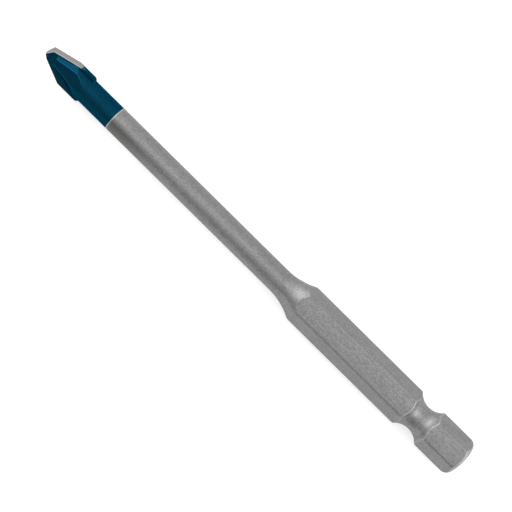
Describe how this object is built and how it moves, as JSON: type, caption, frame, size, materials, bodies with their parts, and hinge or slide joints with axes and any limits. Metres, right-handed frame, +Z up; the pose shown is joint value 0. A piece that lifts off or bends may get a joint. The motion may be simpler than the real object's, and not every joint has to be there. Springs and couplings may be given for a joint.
{
  "type": "glass and tile drill bit",
  "caption": "Spear-point carbide drill bit for glass and tile: a lopsided ground plate in a slotted round shaft, on a flared hexagon shank with a latch groove.",
  "frame": {"origin": "centre of the shank's flat end face, on the bit's axis", "axes": "+X along the axis from the shank to the point, +Z up, square to one flat of the hexagon, so that the bit lies on the opposite flat; +Y completes the right-handed set"},
  "size_m": [0.0932, 0.007, 0.0064],
  "materials": {
    "steel": "fine-blasted matt grey steel, with a matt dark blue coat on the last 15 mm behind the point",
    "carbide": "the same dark blue coat over cemented carbide, ground bare on the flanks behind the cutting edges"
  },
  "bodies": {
    "root": {"steel_shank": "steel", "carbide_tip": "carbide"}
  },
  "joints": []
}
